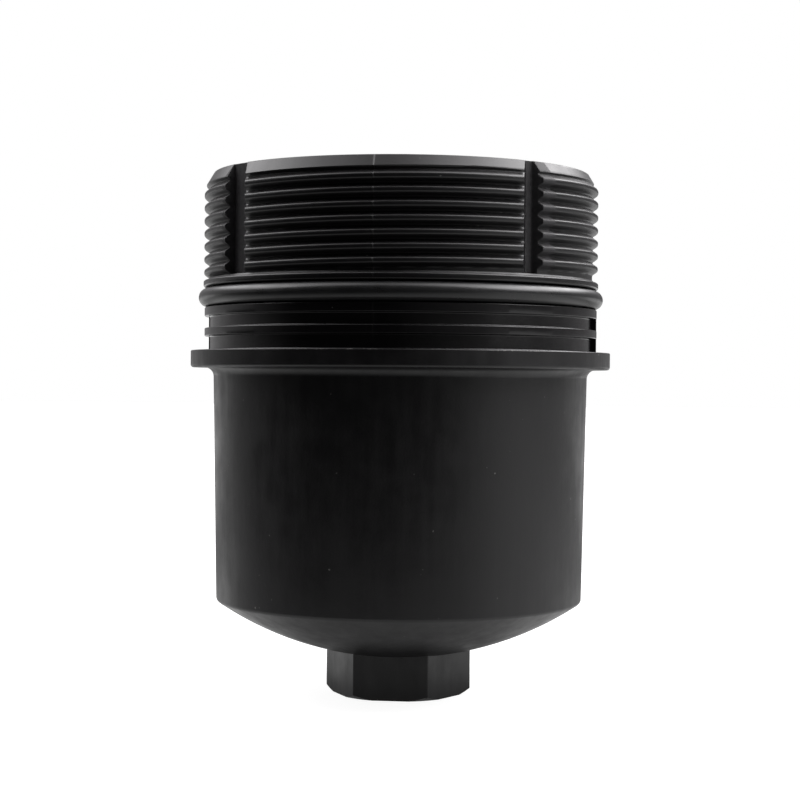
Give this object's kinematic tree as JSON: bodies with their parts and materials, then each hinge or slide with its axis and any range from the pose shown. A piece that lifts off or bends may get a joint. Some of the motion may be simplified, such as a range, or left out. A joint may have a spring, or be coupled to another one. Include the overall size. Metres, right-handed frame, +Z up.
{
  "type": "cartridge oil filter with screw bowl",
  "caption": "Cartridge oil filter: black screw bowl with hexagon, flange and large O-ring, holding a pleated element on a spring seat and a bypass valve.",
  "frame": {"origin": "centre of the hexagon's end face, which the bowl stands on", "axes": "+Z up the bowl's axis to the open rim; the mould's parting line lies on -Y and +Y; two corners of the hexagon lie on X"},
  "size_m": [0.1194, 0.1194, 0.1474],
  "materials": {
    "bowl_nylon": "moulded matte",
    "seal_rubber": "smooth, lightly oiled",
    "turret_nylon": "moulded satin",
    "poppet_metal": "turned",
    "spring_steel": "drawn wire",
    "retainer_nylon": "natural nylon",
    "plate_steel": "zinc plated",
    "circlip_steel": "phosphated",
    "cap_nylon": "moulded satin",
    "potting": "cured plastisol",
    "filter_paper": "resin-treated paper",
    "clip_steel": "tinned",
    "glue": "hot-melt",
    "tube_steel": "tinned, perforated",
    "grommet_rubber": "moulded, soft"
  },
  "bodies": {
    "bowl": {"housing_bowl": "bowl_nylon", "bowl_o_ring": "seal_rubber", "valve_turret": "turret_nylon", "turret_o_ring": "seal_rubber", "bypass_spring": "spring_steel", "valve_retainer": "retainer_nylon", "element_spring": "spring_steel", "plate_circlip": "circlip_steel"},
    "valve": {"bypass_poppet": "poppet_metal", "poppet_seal": "seal_rubber"},
    "spring_seat": {"spring_plate": "plate_steel"},
    "element": {"lower_end_cap": "cap_nylon", "upper_end_cap": "cap_nylon", "lower_potting": "potting", "upper_potting": "potting", "pleated_media": "filter_paper", "seam_clip": "clip_steel", "pleat_bands": "glue", "centre_tube": "tube_steel", "outlet_grommet": "grommet_rubber"}
  },
  "joints": [
    {"name": "valve_lift", "type": "slide", "parent": "bowl", "child": "valve", "axis": [0, 0, 1], "range_m": [0, 0.005], "stiffness_N_per_m": 4000, "springref_m": -0.006, "deforming": ["bypass_spring"]},
    {"name": "plate_sink", "type": "slide", "parent": "bowl", "child": "spring_seat", "axis": [0, 0, 1], "range_m": [-0.004, 0], "stiffness_N_per_m": 4000, "springref_m": 0.003, "deforming": ["element_spring"]},
    {"name": "element_lift", "type": "slide", "parent": "spring_seat", "child": "element", "axis": [0, 0, 1], "range_m": [0, 0.125]}
  ]
}
